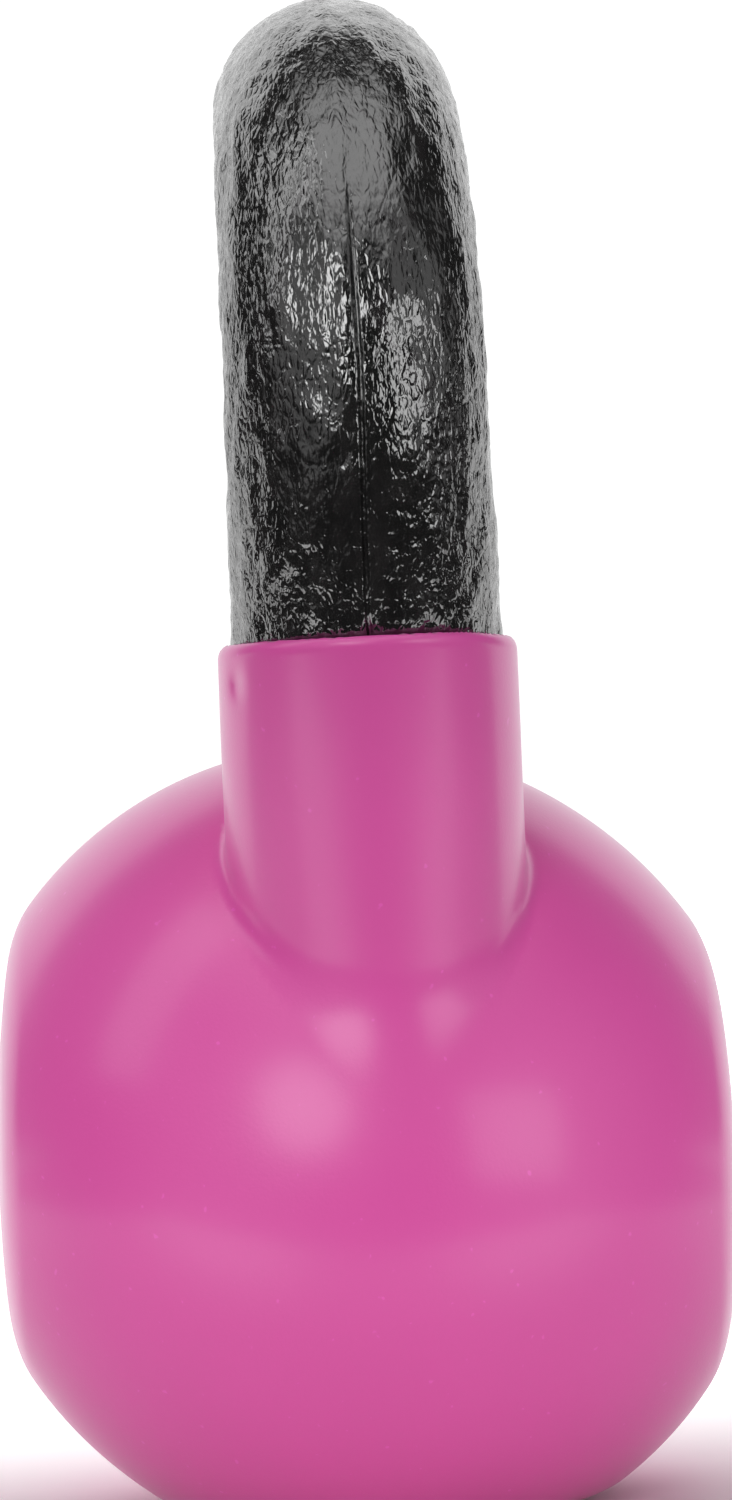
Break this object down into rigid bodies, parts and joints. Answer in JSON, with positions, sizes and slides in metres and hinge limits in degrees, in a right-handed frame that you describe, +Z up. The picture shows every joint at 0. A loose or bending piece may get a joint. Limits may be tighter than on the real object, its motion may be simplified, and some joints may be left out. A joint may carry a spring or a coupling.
{
  "type": "kettlebell",
  "caption": "Small kettlebell: round cast-iron ball with domed faces and a flat base, pink vinyl jacket up both horns, bare black enamelled loop handle.",
  "frame": {"origin": "middle of the flat base, on the surface the kettlebell stands on", "axes": "+Z up through the ball and the middle of the grip, X along the grip from horn to horn, Y through the two domed faces"},
  "size_m": [0.137, 0.09, 0.1839],
  "materials": {
    "iron": "as-cast sand texture, unpainted where the coats cover it",
    "vinyl": "glossy magenta-pink dipped vinyl",
    "enamel": "gloss black enamel over lumpy cast iron"
  },
  "bodies": {
    "root": {"iron_casting": "iron", "vinyl_jacket": "vinyl", "handle_enamel": "enamel"}
  },
  "joints": []
}
